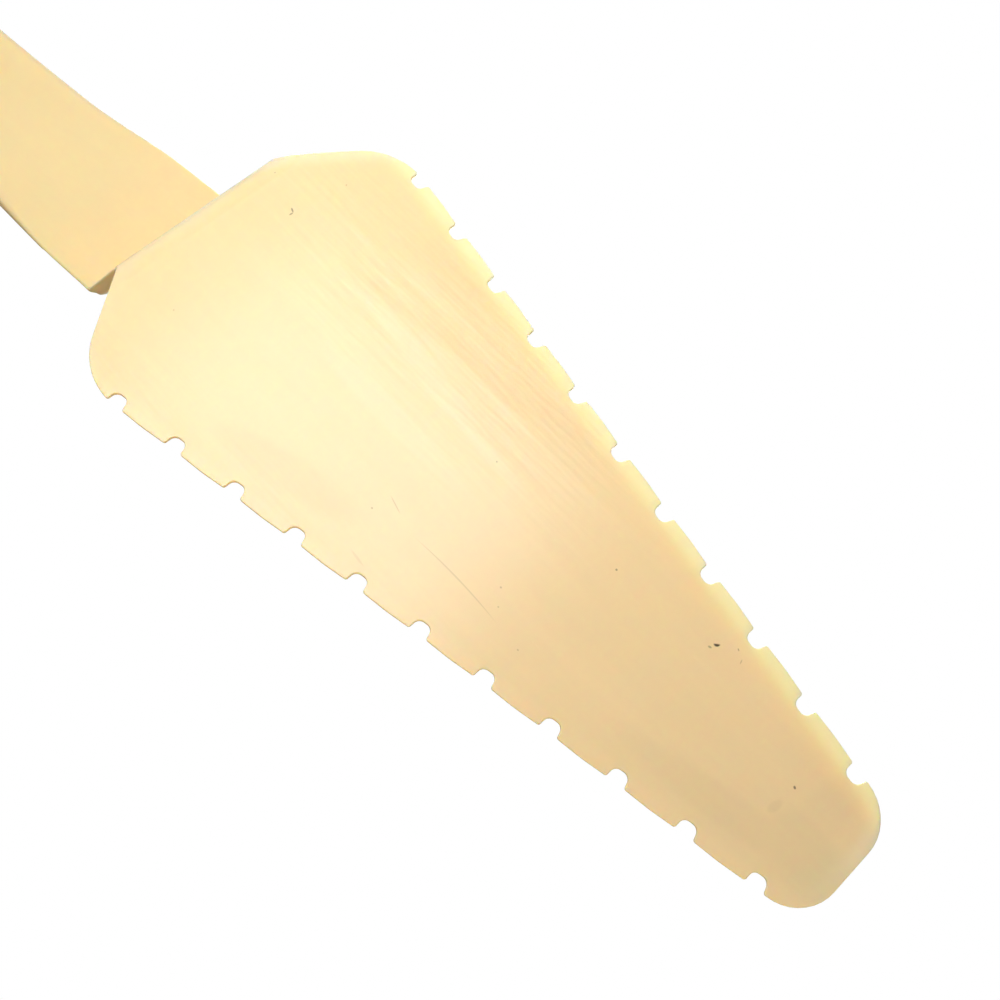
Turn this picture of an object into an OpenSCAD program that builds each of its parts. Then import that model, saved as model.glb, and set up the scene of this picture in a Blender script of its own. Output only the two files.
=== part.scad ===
// Cake server: a notched plastic blade with an offset, hollow handle screwed to its upper face.
// It lies on its blade. +X points to the tip, +Y to the left and +Z up, and the origin is on the
// blade's underside, on the centre line, between the first pair of notches. All sizes are in mm.

/* [Blade] */
// From the first pair of notches to the end of the tip
tip_reach = 116; // [95:1:140]
// From the first pair of notches back to the straight heel edge
heel_reach = 18.2; // [15:0.1:22]
// Length of the straight heel edge, and width of the neck's root
heel_w = 30.8; // [27:0.1:34]
// Width over the teeth at the first pair of notches
blade_w = 59.8; // [52:0.2:68]
// Angle by which each toothed edge closes towards the tip
edge_angle = 10; // [7:0.5:11]
// Angle between each shoulder and the centre line
shoulder_angle = 54.5; // [48:0.5:62]
// Thickness of the plate
blade_t = 3; // [2.4:0.1:4]
// Thickness left along the toothed edges
edge_t = 1.4; // [1:0.1:2]
// Width of the bevel along the toothed edges, on the upper face
bevel_w = 5; // [3:0.1:8]
// Radius of the rear corners, where the shoulders meet the toothed edges
corner_r = 11.5; // [8:0.5:14]
// Radius of the two corners of the tip
tip_r = 7; // [4:0.5:9]

/* [Notches] */
// Spacing of the notches along the edge
notch_pitch = 11; // [8:0.1:14]
// Diameter of each notch
notch_d = 2.2; // [1.6:0.1:3]
// Depth of the notch's centre inside the line of the teeth
notch_inset = 0.75; // [0.5:0.05:1]
// Width of the notch's flared mouth, on the line of the teeth
notch_mouth = 2.9; // [2.4:0.05:3.4]

/* [Neck and grip] */
// Height of the grip's underside at the bend
bend_h = 33.3; // [26:0.1:40]
// From the heel edge back to the bend
bend_back = 20.8; // [16:0.1:26]
// Radius of the inside of the bend
bend_r = 2.5; // [1.5:0.1:5]
// Slope of the grip just behind the bend
grip_rise = 18.4; // [13:0.2:24]
// Radius of the grip's long arch
arch_r = 510; // [400:10:1000]
// Length of the grip along its underside
grip_l = 105; // [90:1:125]
// How much wider the grip is at the bend than the heel edge
grip_extra_w = 1.3; // [0:0.1:4]
// How much narrower the grip is at its end, before the end rounds off
grip_taper_w = 6; // [3:0.1:9]
// Length over which the end rounds off, seen from above
tail_curve_l = 25; // [20:1:35]
// Length over which the end rounds off, seen from the side
tail_nose_l = 12; // [8:0.5:16]
// Thickness of the neck and of the grip at the bend
neck_t = 3.2; // [2.8:0.1:4]
// Thickness of the grip where it fills the hand
grip_t = 10.6; // [9:0.1:13]
// Extra thickness of the neck at its root, faired into the foot
root_flare = 5; // [2:0.1:8]
// Height over which the root flare dies out
root_rise = 9; // [6:0.5:14]
// Inward lean of the neck's sides, and of the grip's at the bend
neck_lean = 45; // [40:0.5:48]
// Inward lean of the grip's sides where it fills the hand
side_lean = 11; // [8:0.5:14]
// Radius of the grip's lower edges at the bend
edge_r = 0.4; // [0.3:0.05:0.8]
// Radius of the grip's lower edges where it fills the hand
grip_edge_r = 1.8; // [1.4:0.1:2.6]
// Wall of both grip shells
wall_t = 1.5; // [1.2:0.1:1.8]
// Length of the solid stretch between the bend and the hollow
neck_lap = 20; // [19:0.5:24]
// Thickness of the solid end of the grip
tail_wall = 5; // [3:0.1:8]

/* [Foot and screws] */
// From the heel edge to the front of the foot
foot_l = 21.5; // [19:0.1:26]
// How far each side of the foot stands in from the heel edge's ends
foot_inset = 1.2; // [0.5:0.1:2.5]
// Thickness of the foot
foot_t = 4; // [3:0.1:5]
// Radius of the foot's front corners
foot_r = 6; // [3:0.1:8]
// From the heel edge to the screws
screw_x = 14.6; // [13.5:0.1:15.5]
// Distance between the two screws
screw_span = 16; // [14:0.1:17]
// Diameter of the screws
screw_d = 3; // [2.5:0.1:3.5]
// Thickness of plastic left under the screw holes
hole_floor_t = 1.1; // [0.8:0.1:1.6]
// Diameter of the screw heads
head_d = 7; // [6:0.1:8]
// Height of the screw heads
head_h = 2; // [1.6:0.1:2.6]
// Diameter of the bosses on the blade that the screws bite in
boss_d = 6; // [5:0.1:6.4]

/* [Cover pegs] */
// Diameter of the pegs that hold the cover
peg_d = 3.6; // [3:0.1:4.2]
// Wall of the sockets that take the pegs
socket_wall = 1.4; // [1:0.1:1.8]

/* [Hidden] */
$fn = 64;

// How far a cut runs past what it cuts
overrun = 1;
// Gap between the two grip shells, and between the cover and the neck
seam_gap = 0.12;
// Sliding clearance on the diameter of a boss, peg or screw in its hole
fit_clear = 0.2;
// Gap that keeps the neck off the blade, so that the foot alone bears
seat_relief = 0.2;
// How far the boss stays below the upper face of the foot, so that the screw clamps the foot
boss_drop = 0.3;
// Room under the tip of each screw
tip_room = 0.3;
// Radius of the fillet inside the hollow
hollow_r = 0.5;
// Width and depth of the cross recess in the screw heads
recess_w = 0.9;
recess_depth = 1.1;

// Shares of the grip's thickness that lie below the seam, at the bend and at the neck's root
rim_share = 0.5;
root_rim_share = 0.72;
// Shares of the grip's length at which its lower edges start and stop growing rounder
round_start_share = 0.13;
round_stop_share = 0.4;
// Share of the grip's length over which its sides turn from the neck's lean to their own
lean_share = 0.21;
// Share of the plate's thickness that the rounding under the heel edge takes
heel_round_share = 0.94;
// Share of the width that the rim leaves open where the grip is too narrow to be hollow
blunt_rim_share = 0.6;
// Share of the grip's length over which it thickens
swell_share = 0.55;
// Shares of the grip's length at which the pegs stand
peg_shares = [0.24, 0.7];
// Share of a screw head's diameter that the cross recess spans
recess_share = 0.6;
// Share of a screw's length that is its point
point_share = 0.22;
// Share of the head's height that is a straight rim under the dome
head_rim_share = 0.35;

// Fullness of the domed upper face, where 2 is an ellipse
dome_power = 2.6;
// Steps of the rounding under the heel edge
heel_steps = 10;
// Points on each rounded lower edge, and slices along each stretch of the handle
edge_points = 6;
neck_slices = 10;
bend_slices = 4;
lap_slices = 5;
grip_slices = 14;
tail_slices = 12;
// Last angle of the rounded end, short of its vanishing point
tail_angle = 84;

// Rear corner and tip corner of the blade before rounding, and where the roundings start
heel = [-heel_reach, heel_w / 2];
edge_slope = tan(edge_angle);
shoulder_slope = tan(shoulder_angle);
corner_x = (blade_w / 2 - heel.y - shoulder_slope * heel_reach) / (shoulder_slope + edge_slope);
corner = [corner_x, edge_y(corner_x)];
tip = [tip_reach, edge_y(tip_reach)];
edge_dir = [cos(edge_angle), -sin(edge_angle)];
shoulder_dir = [cos(shoulder_angle), sin(shoulder_angle)];
corner_tangent = corner_r * tan((shoulder_angle + edge_angle) / 2);
tip_tangent = tip_r * tan((90 - edge_angle) / 2);
corner_center = corner + corner_tangent * edge_dir - corner_r * [sin(edge_angle), cos(edge_angle)];
tip_center = [tip_reach - tip_r, tip.y - tip_tangent];
notch_run = norm(tip - edge_point(0)) - tip_tangent - notch_d / 2;
notch_count = floor(notch_run / notch_pitch) + 1;

// The heel edge is cut on the slant of the neck's rear face, so that the two are flush
bend_x = -heel_reach - bend_back;
neck_angle = atan(bend_h / bend_back);
heel_r = heel_round_share * blade_t / (1 - cos(neck_angle));
grip_w = heel_w + grip_extra_w;
tail_w = grip_w - grip_taper_w;
foot_w = heel_w - 2 * foot_inset;
neck_base = blade_t + seat_relief;
boss_top = blade_t + foot_t - boss_drop;
screw_seat = blade_t + foot_t;
screw_l = screw_seat - hole_floor_t - tip_room;
screw_at = -heel_reach + screw_x;
cavity_end = grip_l - tail_wall;
peg_bore_d = peg_d + fit_clear;
socket_d = peg_bore_d + 2 * socket_wall;
bend_tangent = bend_r * tan((neck_angle - grip_rise) / 2);

// Half the blade's width over the teeth at a distance x in front of the first notches
function edge_y(x) = blade_w / 2 - x * edge_slope;

// A point on the line of the teeth, at a distance along it from the first notch
function edge_point(along) = [0, blade_w / 2] + along * edge_dir;

function lerp(a, b, t) = a + (b - a) * t;
function ease(t) = let (u = max(0, min(1, t))) u * u * (3 - 2 * u);

// Quarter ellipse that falls from 1 to 0 as the share of a stretch that is left runs out
function end_round(left_share) = sqrt(1 - pow(max(0, 1 - left_share), 2));

// Slope of the grip, and a point on its underside, at a distance s behind the bend
function grip_slope(s) = grip_rise - s / arch_r * 180 / PI;
function grip_x(s) = bend_x - arch_r * (sin(grip_rise) - sin(grip_slope(s)));
function grip_z(s) = bend_h + arch_r * (cos(grip_slope(s)) - cos(grip_rise));

// A slice is [x, z, angle of its thickness, half width, thickness, seam height, edge radius, lean, nose]
function grip_slice(s) =
    let (narrow = end_round((grip_l - s) / tail_curve_l),
         half = lerp(grip_w, tail_w, s / grip_l) / 2 * narrow,
         thick = lerp(neck_t, grip_t, ease(s / (swell_share * grip_l))),
         stretch = (round_stop_share - round_start_share) * grip_l,
         grown = ease((s - round_start_share * grip_l) / stretch),
         full_lean = lerp(neck_lean, side_lean, ease(s / (lean_share * grip_l))),
         lean = atan(tan(full_lean) * narrow),
         radius = min(lerp(edge_r, grip_edge_r, grown), half * rim_share))
    [grip_x(s), grip_z(s), 90 - grip_slope(s), half, thick, thick * rim_share, radius, lean,
     end_round((grip_l - s) / tail_nose_l)];

// The neck widens from the heel edge to the grip, and its rear face is flat. Its slices turn from
// level at the root to square at the bend.
function neck_slice(t) =
    let (stop = bend_h - bend_tangent * sin(neck_angle),
         z = lerp(neck_base, stop, t),
         flare = root_flare * pow(max(0, 1 - (z - neck_base) / root_rise), 2),
         thick = neck_t + flare)
    [-heel_reach - z / tan(neck_angle), z, lerp(0, 90 - neck_angle, ease(t)),
     lerp(heel_w, grip_w, t) / 2, thick, thick * lerp(root_rim_share, rim_share, t), edge_r,
     neck_lean * t, 1];

// Slices round the inside of the bend
function bend_slice(t) =
    let (slope = lerp(neck_angle, grip_rise, t),
         start = [bend_x, bend_h] + bend_tangent * [cos(neck_angle), -sin(neck_angle)],
         center = start - bend_r * [sin(neck_angle), cos(neck_angle)])
    [center.x + bend_r * sin(slope), center.y + bend_r * cos(slope), 90 - slope, grip_w / 2, neck_t,
     neck_t * rim_share, edge_r, neck_lean, 1];

// A point of a slice, across it by y and through its thickness by n
function slice_point(slice, y, n) =
    [slice[0] + n * cos(slice[2]), y, slice[1] + n * sin(slice[2])];

// Half width at the seam, outside and inside the wall
function seam_half(slice) = slice[3] - slice[5] * tan(slice[7]);
function rim_half(slice) =
    max(seam_half(slice) - wall_t / cos(slice[7]), seam_half(slice) * blunt_rim_share);

// Underside and sides of a slice, from the left seam round to the right one
function lower_half(slice) =
    let (r = slice[6],
         center_y = slice[3] - r * tan(45 + slice[7] / 2),
         seam = slice[5],
         arc = [for (j = [0:edge_points - 1])
             let (a = lerp(slice[7], -90, j / (edge_points - 1)))
             [center_y + r * cos(a), r + r * sin(a)]],
         side = concat([[seam_half(slice), seam]], arc),
         last = edge_points)
    [for (j = [0:2 * last + 1])
        let (p = j <= last ? side[j] : side[2 * last + 1 - j])
        slice_point(slice, j <= last ? p.x : -p.x, seam - (seam - p.y) * slice[8])];

// Domed upper face of a slice, between the right seam and the left one
function dome(slice, lift) =
    [for (j = [0:2 * edge_points + 1])
        let (a = 180 * (j + 0.5) / (2 * edge_points + 2),
             across = pow(abs(cos(a)), 2 / dome_power) * sign(cos(a)),
             up = pow(sin(a), 2 / dome_power),
             seam = slice[5] + lift)
        slice_point(slice, -seam_half(slice) * across, seam + (slice[4] - seam) * up * slice[8])];

// Hollow of the lower shell in a slice, from the right seam down and up to the left one
function hollow(slice) =
    let (r = max(hollow_r, slice[6] - wall_t),
         lean = slice[7],
         floor_half = slice[3] - wall_t * tan(lean) - wall_t / cos(lean),
         center_y = floor_half - r * tan(45 + lean / 2),
         arc = [for (j = [0:edge_points - 1])
             let (a = lerp(lean, -90, j / (edge_points - 1)))
             [center_y + r * cos(a), wall_t + r + r * sin(a)]],
         side = concat([[rim_half(slice), slice[5]]], arc),
         last = edge_points)
    [for (j = [0:2 * last + 1])
        let (p = j <= last ? side[j] : side[2 * last + 1 - j])
        slice_point(slice, j <= last ? -p.x : p.x, p.y)];

// Flat face across a slice at the seam, from one rim to the other, with as many points as its hollow
function flat(slice, side, lift) =
    [for (j = [0:2 * edge_points + 1])
        let (t = j / (2 * edge_points + 1))
        slice_point(slice, side * rim_half(slice) * (1 - 2 * t), slice[5] + lift)];

// Ceiling of the cover in a slice, from the left seam up and down to the right one
function ceiling(slice) =
    [for (j = [0:2 * edge_points + 1])
        let (a = 180 * j / (2 * edge_points + 1),
             across = pow(abs(cos(a)), 2 / dome_power) * sign(cos(a)),
             up = pow(max(0, sin(a)), 2 / dome_power),
             seam = slice[5] + seam_gap)
        slice_point(slice, rim_half(slice) * across,
                    seam + (slice[4] - wall_t - seam) * up)];

// The two seam points of a slice, for the cover
function seam_edge(slice, side) = [slice_point(slice, side * seam_half(slice), slice[5] + seam_gap)];

// Distances along the grip: even as far as the tail, then closing up round its end
function grip_steps(from) =
    concat([for (i = [0:grip_slices]) lerp(from, grip_l - tail_curve_l, i / grip_slices)],
           [for (i = [1:tail_slices])
               grip_l - tail_curve_l * (1 - sin(tail_angle * i / tail_slices))]);

// Steps between two distances, with both of them included
function steps_between(from, to) =
    concat([from], [for (s = grip_steps(neck_lap)) if (s > from && s < to) s], [to]);

// Triangles across the end of a ring, between its first and its second half
function cap(first, count, flip) =
    [for (j = [0:count / 2 - 2])
        let (a = first + j,
             b = first + count - 1 - j,
             pair = 2 * j < count / 2 - 1
                 ? [[a, a + 1, b], [a + 1, b - 1, b]]
                 : [[a, a + 1, b - 1], [a, b - 1, b]])
        each flip ? [for (t = pair) [t[0], t[2], t[1]]] : pair];

// One closed skin over rings of points, with both ends capped
module skin(rings) {
    count = len(rings[0]);
    last = len(rings) - 1;
    sides = [for (i = [0:last - 1], j = [0:count - 1])
        let (a = i * count + j,
             b = i * count + (j + 1) % count)
        each [[a, b + count, b], [a, a + count, b + count]]];
    polyhedron(points = [for (ring = rings) each ring],
               faces = concat(sides, cap(0, count, false), cap(last * count, count, true)));
}

// Moves children to a distance s along the grip, with their Z axis through its thickness
module on_grip(s) {
    translate([grip_x(s), 0, grip_z(s)])
        rotate([0, grip_slope(s), 0])
            children();
}

// Moves children to both screws
module at_screws(z) {
    for (side = [-1, 1]) {
        translate([screw_at, side * screw_span / 2, z])
            children();
    }
}

// Blade outline without its notches
module blade_outline() {
    corner_start = corner - corner_tangent * shoulder_dir;
    corner_stop = corner + corner_tangent * edge_dir;
    tip_start = tip - tip_tangent * edge_dir;
    tip_stop = [tip.x, tip.y - tip_tangent];
    half = [heel, corner_start, corner_stop, tip_start, tip_stop];
    polygon(concat(half, [for (i = [len(half) - 1:-1:0]) [half[i].x, -half[i].y]]));
    for (side = [-1, 1]) {
        translate([corner_center.x, side * corner_center.y]) circle(r = corner_r);
        translate([tip_center.x, side * tip_center.y]) circle(r = tip_r);
    }
}

// Outline of one notch: a round bottom with sides that flare out to the mouth
module notch_outline() {
    reach = notch_inset + overrun;
    flare = (notch_mouth - notch_d) / 2 / notch_inset;
    circle(d = notch_d);
    polygon([[-notch_d / 2, 0],
             [notch_d / 2, 0],
             [notch_d / 2 + flare * reach, reach],
             [-notch_d / 2 - flare * reach, reach]]);
}

// Notches along the left edge
module edge_notches() {
    for (i = [0:notch_count - 1]) {
        translate([0, blade_w / 2, -overrun])
            rotate([0, 0, -edge_angle])
                translate([i * notch_pitch, -notch_inset, 0])
                    linear_extrude(height = blade_t + 2 * overrun)
                        notch_outline();
    }
}

// Wedge that thins the upper face along the left edge
module edge_bevel() {
    drop = (blade_t - edge_t) / bevel_w;
    run = tip_reach + heel_reach + 2 * bevel_w;
    translate([0, blade_w / 2, 0])
        rotate([0, 0, -edge_angle])
            translate([-heel_reach - bevel_w, 0, 0])
                rotate([90, 0, 90])
                    linear_extrude(height = run)
                        polygon([[-bevel_w, blade_t],
                                 [overrun, edge_t - overrun * drop],
                                 [overrun, blade_t + overrun],
                                 [-bevel_w, blade_t + overrun]]);
}

// Slant behind the heel edge, in line with the neck's rear face
module heel_slant() {
    translate([-heel_reach, heel_w / 2, 0])
        rotate([90, 0, 0])
            linear_extrude(height = heel_w)
                polygon([[0, 0], [0, blade_t], [-blade_t / tan(neck_angle), blade_t]]);
}

// Cutter that rounds the lower side of the heel edge into the slant
module heel_rounding() {
    center = [heel_r * tan(neck_angle / 2) - heel_reach, heel_r];
    arc = [for (i = [0:heel_steps])
        let (a = neck_angle * i / heel_steps)
        center - heel_r * [sin(a), cos(a)]];
    past_slant = arc[heel_steps] - overrun * [sin(neck_angle), cos(neck_angle)];
    translate([0, blade_w / 2, 0])
        rotate([90, 0, 0])
            linear_extrude(height = blade_w)
                polygon(concat(arc, [past_slant, [-heel_reach - overrun, -overrun], [center.x, -overrun]]));
}

// Notched plate with two screw bosses on its upper face
module blade() {
    color([0.98, 0.9, 0.7])
        difference() {
            union() {
                linear_extrude(height = blade_t) blade_outline();
                heel_slant();
                at_screws(blade_t / 2)
                    cylinder(d = boss_d, h = boss_top - blade_t / 2);
            }
            edge_notches();
            mirror([0, 1, 0]) edge_notches();
            edge_bevel();
            mirror([0, 1, 0]) edge_bevel();
            heel_rounding();
            at_screws(hole_floor_t)
                cylinder(d = screw_d + fit_clear, h = screw_seat - hole_floor_t + overrun);
        }
}

// Foot plate that lies on the blade
module foot() {
    back = -heel_reach + (neck_t + root_flare) / 2;
    front = -heel_reach + foot_l;
    translate([0, 0, blade_t])
        linear_extrude(height = foot_t) {
            translate([back, -foot_w / 2])
                square([front - foot_r - back, foot_w]);
            translate([front - foot_r - overrun, foot_r - foot_w / 2])
                square([foot_r + overrun, foot_w - 2 * foot_r]);
            for (side = [-1, 1]) {
                translate([front - foot_r, side * (foot_w / 2 - foot_r)])
                    circle(r = foot_r);
            }
        }
}

// Neck and lower half of the grip, in one skin
module shell_body() {
    solid = concat([for (i = [0:neck_slices]) neck_slice(i / neck_slices)],
                   [for (i = [1:bend_slices]) bend_slice(i / bend_slices)],
                   [for (i = [1:lap_slices]) grip_slice(neck_lap * i / lap_slices)]);
    open = [for (s = steps_between(neck_lap, cavity_end)) grip_slice(s)];
    tail = [for (s = steps_between(cavity_end, grip_steps(neck_lap)[grip_slices + tail_slices]))
        grip_slice(s)];
    skin(concat([for (slice = solid) concat(lower_half(slice), dome(slice, 0))],
                [for (slice = open) concat(lower_half(slice), hollow(slice))],
                [for (slice = tail) concat(lower_half(slice), flat(slice, -1, 0))]));
}

// Foot, neck and lower half of the grip, with sockets for the cover's pegs
module handle_shell() {
    color([0.97, 0.87, 0.65])
        difference() {
            union() {
                shell_body();
                foot();
                for (share = peg_shares) {
                    slice = grip_slice(share * grip_l);
                    on_grip(share * grip_l)
                        translate([0, 0, wall_t / 2])
                            cylinder(d = socket_d, h = slice[5] - wall_t / 2);
                }
            }
            at_screws(blade_t - overrun)
                cylinder(d = boss_d + fit_clear, h = foot_t + 2 * overrun);
            for (share = peg_shares) {
                on_grip(share * grip_l)
                    translate([0, 0, wall_t])
                        cylinder(d = peg_bore_d, h = grip_t);
            }
        }
}

// Upper half of the grip, with two pegs under its ceiling
module grip_cover() {
    front = neck_lap + seam_gap;
    hollow_front = front + wall_t;
    last = grip_steps(neck_lap)[grip_slices + tail_slices];
    nose = [for (s = [front, hollow_front]) grip_slice(s)];
    open = [for (s = steps_between(hollow_front, cavity_end)) grip_slice(s)];
    tail = [for (s = steps_between(cavity_end, last)) grip_slice(s)];
    ends = function (slice) concat(
        seam_edge(slice, -1), dome(slice, seam_gap), seam_edge(slice, 1), flat(slice, 1, seam_gap));
    color([0.97, 0.87, 0.65])
        union() {
            skin(concat([for (slice = nose) ends(slice)],
                        [for (slice = open) concat(
                            seam_edge(slice, -1), dome(slice, seam_gap), seam_edge(slice, 1),
                            ceiling(slice))],
                        [for (slice = tail) ends(slice)]));
            for (share = peg_shares) {
                slice = grip_slice(share * grip_l);
                bottom = wall_t + tip_room;
                on_grip(share * grip_l)
                    translate([0, 0, bottom])
                        cylinder(d = peg_d, h = slice[4] - wall_t / 2 - bottom);
            }
        }
}

// One domed screw with a cross recess, its seat at z = 0
module screw() {
    rim = head_h * head_rim_share;
    rise = head_h - rim;
    dome_r = (pow(head_d / 2, 2) + pow(rise, 2)) / (2 * rise);
    point = screw_l * point_share;
    difference() {
        union() {
            intersection() {
                cylinder(d = head_d, h = head_h);
                translate([0, 0, head_h - dome_r]) sphere(r = dome_r);
            }
            translate([0, 0, -screw_l + point])
                cylinder(d = screw_d, h = screw_l - point + rim);
            translate([0, 0, -screw_l])
                cylinder(d1 = screw_d / 2, d2 = screw_d, h = point);
        }
        for (turn = [0, 90]) {
            rotate([0, 0, turn])
                translate([-head_d * recess_share / 2, -recess_w / 2, head_h - recess_depth])
                    cube([head_d * recess_share, recess_w, recess_depth + overrun]);
        }
    }
}

// The two screws through the foot
module foot_screws() {
    color([0.78, 0.79, 0.8])
        at_screws(screw_seat)
            screw();
}

blade();
handle_shell();
grip_cover();
foot_screws();
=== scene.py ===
# %% [markdown]
# # A cake server in cream plastic
# The server is a notched blade, a slanted neck and an arched grip, seen from below. The solids of the
# pieces come from the CAD frame, and this lesson dresses them: each piece is modelled again with the
# soft edges of a moulding, and each gets a finish made of nodes. The frame is in metres: +X points to
# the tip, +Z up, and the blade lies on the plane z = 0. The object's sizes are written in millimetres
# and turned into metres with `MM`, and the studio's sizes are written in metres.

# %% Load the frame
from collections import namedtuple
from math import asin, atan, atan2, cos, degrees, pi, radians, sin, sqrt, tan

import bmesh
import bpy
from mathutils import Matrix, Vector


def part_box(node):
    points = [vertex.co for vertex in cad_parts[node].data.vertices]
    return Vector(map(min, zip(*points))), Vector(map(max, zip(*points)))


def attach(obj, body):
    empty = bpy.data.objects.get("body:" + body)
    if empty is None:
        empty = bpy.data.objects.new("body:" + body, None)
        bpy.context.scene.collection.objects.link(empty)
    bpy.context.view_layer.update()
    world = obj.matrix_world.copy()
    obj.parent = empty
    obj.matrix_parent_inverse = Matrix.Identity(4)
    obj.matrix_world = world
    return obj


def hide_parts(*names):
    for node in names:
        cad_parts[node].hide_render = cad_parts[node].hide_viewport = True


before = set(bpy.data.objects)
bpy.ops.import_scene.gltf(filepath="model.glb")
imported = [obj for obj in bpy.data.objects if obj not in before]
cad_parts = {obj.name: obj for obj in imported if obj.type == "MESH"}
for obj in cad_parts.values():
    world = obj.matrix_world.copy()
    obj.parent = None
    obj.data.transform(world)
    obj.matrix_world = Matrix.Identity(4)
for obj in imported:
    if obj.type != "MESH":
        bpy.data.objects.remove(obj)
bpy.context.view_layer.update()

MM = 0.001
print("CAD nodes:", sorted(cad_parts))

# %% [markdown]
# ## Small helpers
# Node trees are long when every node takes three lines of code. `put` adds one node, sets its
# options and fills its sockets: a plain value is typed in, and another node's output is wired in.
# `calc`, `smooth_range` and `mix` are the nodes that the finishes use most. `as_object` links a mesh
# to the scene. `evaluated_mesh` turns an object with modifiers into a plain mesh. `spaced` gives the
# evenly spaced steps of an arc or a stretch.

# %% Helpers for nodes
def put(tree, kind, sockets=None, **options):
    """Adds a node with its options, and fills its sockets with values or links."""
    made = tree.nodes.new(kind)
    for name, value in options.items():
        setattr(made, name, value)
    for name, value in (sockets or {}).items():
        if isinstance(value, bpy.types.NodeSocket):
            tree.links.new(value, made.inputs[name])
        else:
            made.inputs[name].default_value = value
    return made


def calc(tree, operation, *values):
    """Adds a Math node and returns its result."""
    kind = "ShaderNodeMath"
    return put(tree, kind, dict(enumerate(values)), operation=operation).outputs[0]


def smooth_range(tree, value, low, high, first=0.0, last=1.0):
    """Goes from one result to another while a value runs from low to high, level at both ends."""
    sockets = {"Value": value, "From Min": low, "From Max": high, "To Min": first, "To Max": last}
    return put(tree, "ShaderNodeMapRange", sockets, interpolation_type="SMOOTHSTEP").outputs[0]


def mix(tree, share, first, second):
    """Mixes two colours by a share."""
    return put(tree, "ShaderNodeMix", {0: share, 6: first, 7: second}, data_type="RGBA").outputs[2]


def new_material(name):
    """A material with an emptied node tree."""
    material = bpy.data.materials.new(name)
    material.use_nodes = True
    material.node_tree.nodes.clear()
    return material


def declare(tree, direction, sockets):
    """Names a tree's inputs or outputs, given as pairs of name and socket type."""
    for name, kind in sockets:
        tree.interface.new_socket(name, in_out=direction, socket_type="NodeSocket" + kind)


def end_tree(tree, geometry, material):
    """Ends a Geometry Nodes tree: instances become real meshes and get a material."""
    real = put(tree, "GeometryNodeRealizeInstances", {"Geometry": geometry})
    sockets = {"Geometry": real.outputs[0], "Material": material}
    finished = put(tree, "GeometryNodeSetMaterial", sockets)
    put(tree, "NodeGroupOutput", {"Geometry": finished.outputs[0]})


# %% Helpers for objects
def as_object(name, mesh):
    """Links a mesh to the scene as an object at the origin."""
    made = bpy.data.objects.new(name, mesh)
    bpy.context.scene.collection.objects.link(made)
    return made


def evaluated_mesh(source):
    """Plain mesh of an object with its modifiers, which are then removed."""
    bpy.context.view_layer.update()
    shown = source.evaluated_get(bpy.context.evaluated_depsgraph_get())
    mesh = bpy.data.meshes.new_from_object(shown)
    source.modifiers.clear()
    return mesh


def write_shape(shape, mesh):
    """Writes a bmesh with its normals outward to a mesh, and frees it."""
    bmesh.ops.recalc_face_normals(shape, faces=shape.faces)
    shape.to_mesh(mesh)
    shape.free()


def combine(piece, other, operation):
    """Unites a piece with another object or cuts that one out of it, and removes the other."""
    boolean = piece.modifiers.new("boolean", "BOOLEAN")
    boolean.object = other
    boolean.operation = operation
    boolean.solver = "EXACT"
    piece.data = evaluated_mesh(piece)
    bpy.data.objects.remove(other)


def run_tree(source, tree, values):
    """Runs a Geometry Nodes tree on an object and keeps the result as its plain mesh."""
    modifier = source.modifiers.new(tree.name, "NODES")
    modifier.node_group = tree
    sockets = {item.name: item.identifier for item in tree.interface.items_tree if item.in_out == "INPUT"}
    for name, value in values.items():
        modifier[sockets[name]] = value
    source.data = evaluated_mesh(source)


# %% Helpers for numbers
def blend(first, second, share):
    """Value at a share of the way from the first to the second."""
    return first + (second - first) * share


def spaced(first, last, steps):
    """Evenly spaced values from the first to the last, both included."""
    return [blend(first, last, i / steps) for i in range(steps + 1)]


# %% [markdown]
# ## The camera
# The photograph looks up at the underside, from below the tip and to its left. Its place was found by
# fitting a camera to the evenly spaced notches, so the numbers are not round. The focal length is
# that of a lens in pixels over the width of the square picture.

# %% Camera
PICTURE_PX = 1000
FOCAL_PX = 1169.8
SENSOR_MM = 36
CAMERA_MM = (82.2, 48.8, -155.6)
CAMERA_TURN = (-159.07, 4.63, -46.46)
CLIP_START_MM = 10

camera_data = bpy.data.cameras.new("camera")
camera_data.sensor_width = SENSOR_MM
camera_data.lens = SENSOR_MM * FOCAL_PX / PICTURE_PX
camera_data.clip_start = CLIP_START_MM * MM
camera = bpy.data.objects.new("camera", camera_data)
camera.location = Vector(CAMERA_MM) * MM
camera.rotation_euler = [radians(turn) for turn in CAMERA_TURN]
bpy.context.scene.collection.objects.link(camera)
bpy.context.scene.camera = camera
print("Lens in mm:", round(camera_data.lens, 2))

# %% [markdown]
# ## Cream plastic
# The server is moulded in one cream plastic with a soft gloss. Up close it isn't one flat colour: the
# melt leaves pale streaks along its flow, the tone drifts over some centimetres, and use leaves hair
# fine scratches. The effect is a node group, because the blade and the handle share it. It works on
# Object coordinates in millimetres, so that its sizes read as real sizes. Light goes a little way
# into such a plastic, which the shader gives as a shallow glow under the surface.

# %% Group for moulded plastic
# The waves of each noise are counted per millimetre along X, Y and Z.
STREAK_WAVES = (0.028, 0.21, 0.21)
DRIFT_WAVES = (0.045, 0.055, 0.055)
GRAIN_WAVES = (2.6, 2.6, 2.6)
HAIR_WAVES = (0.13, 9.0, 9.0)
SCRATCH_START = 0.68
SCRATCH_FULL = 0.76
GRAIN_ROUGHNESS = 0.06
SCRATCH_ROUGHNESS = 0.05
GRAIN_HEIGHT = 0.004
SCRATCH_DEPTH = 0.002
WAVE_HEIGHT = 0.14


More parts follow.
